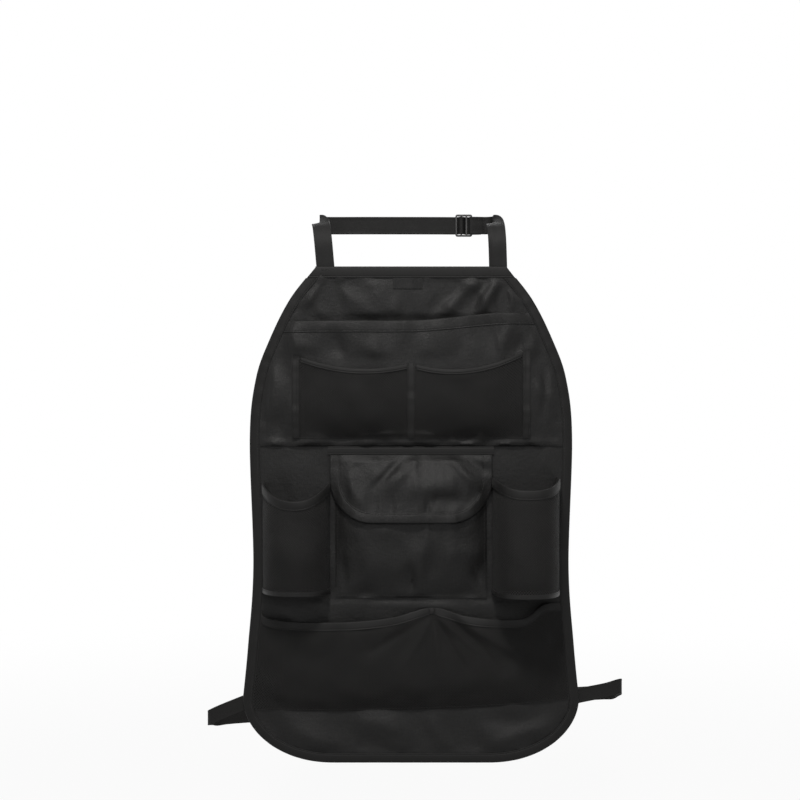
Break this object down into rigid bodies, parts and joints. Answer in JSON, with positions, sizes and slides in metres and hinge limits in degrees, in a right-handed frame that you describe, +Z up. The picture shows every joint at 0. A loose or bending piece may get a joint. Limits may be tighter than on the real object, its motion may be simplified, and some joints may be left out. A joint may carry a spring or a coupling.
{
  "type": "car seat back organizer",
  "caption": "Hanging cloth panel with cloth and net pockets, a flap pocket and a bottle pocket, with webbing straps for headrest posts and elastic belts round a car seat.",
  "frame": {"origin": "middle of the panel's rear face, half way between its top and bottom edges", "axes": "+Z up as it hangs, +X to the right for the passenger behind it, +Y towards the seat that it hangs on"},
  "size_m": [0.5164, 0.2106, 0.6743],
  "materials": {
    "cloth": "black plain woven polyester, fine ribbed weave",
    "tape": "black grosgrain binding tape with a stitch line",
    "net": "black knitted mesh",
    "webbing": "black flat polypropylene webbing",
    "elastic": "black knitted elastic",
    "hook_and_loop": "black hook and loop tape",
    "woven_label": "bare black woven label",
    "plastic": "black moulded acetal, fine matt texture"
  },
  "bodies": {
    "root": {"back_panel": "cloth", "upper_pocket": "cloth", "flap_pocket": "cloth", "flap": "cloth", "side_base_left": "cloth", "side_base_right": "cloth", "edge_binding": "tape", "top_binding": "tape", "upper_pocket_hem": "tape", "net_binding_left": "tape", "net_binding_right": "tape", "left_tape": "tape", "centre_tape": "tape", "right_tape": "tape", "flap_strip": "tape", "flap_binding": "tape", "side_rim_left": "tape", "side_rim_right": "tape", "lower_net_binding": "tape", "net_pocket_left": "net", "net_pocket_right": "net", "side_net_left": "net", "side_net_right": "net", "lower_net": "net", "strap_top_left": "webbing", "strap_top_right": "webbing", "belt_left": "elastic", "belt_right": "elastic", "hook_patch": "hook_and_loop", "loop_patch": "hook_and_loop", "blank_label": "woven_label", "top_slider": "plastic", "belt_slider": "plastic", "buckle_socket": "plastic", "buckle_prong": "plastic"}
  },
  "joints": []
}
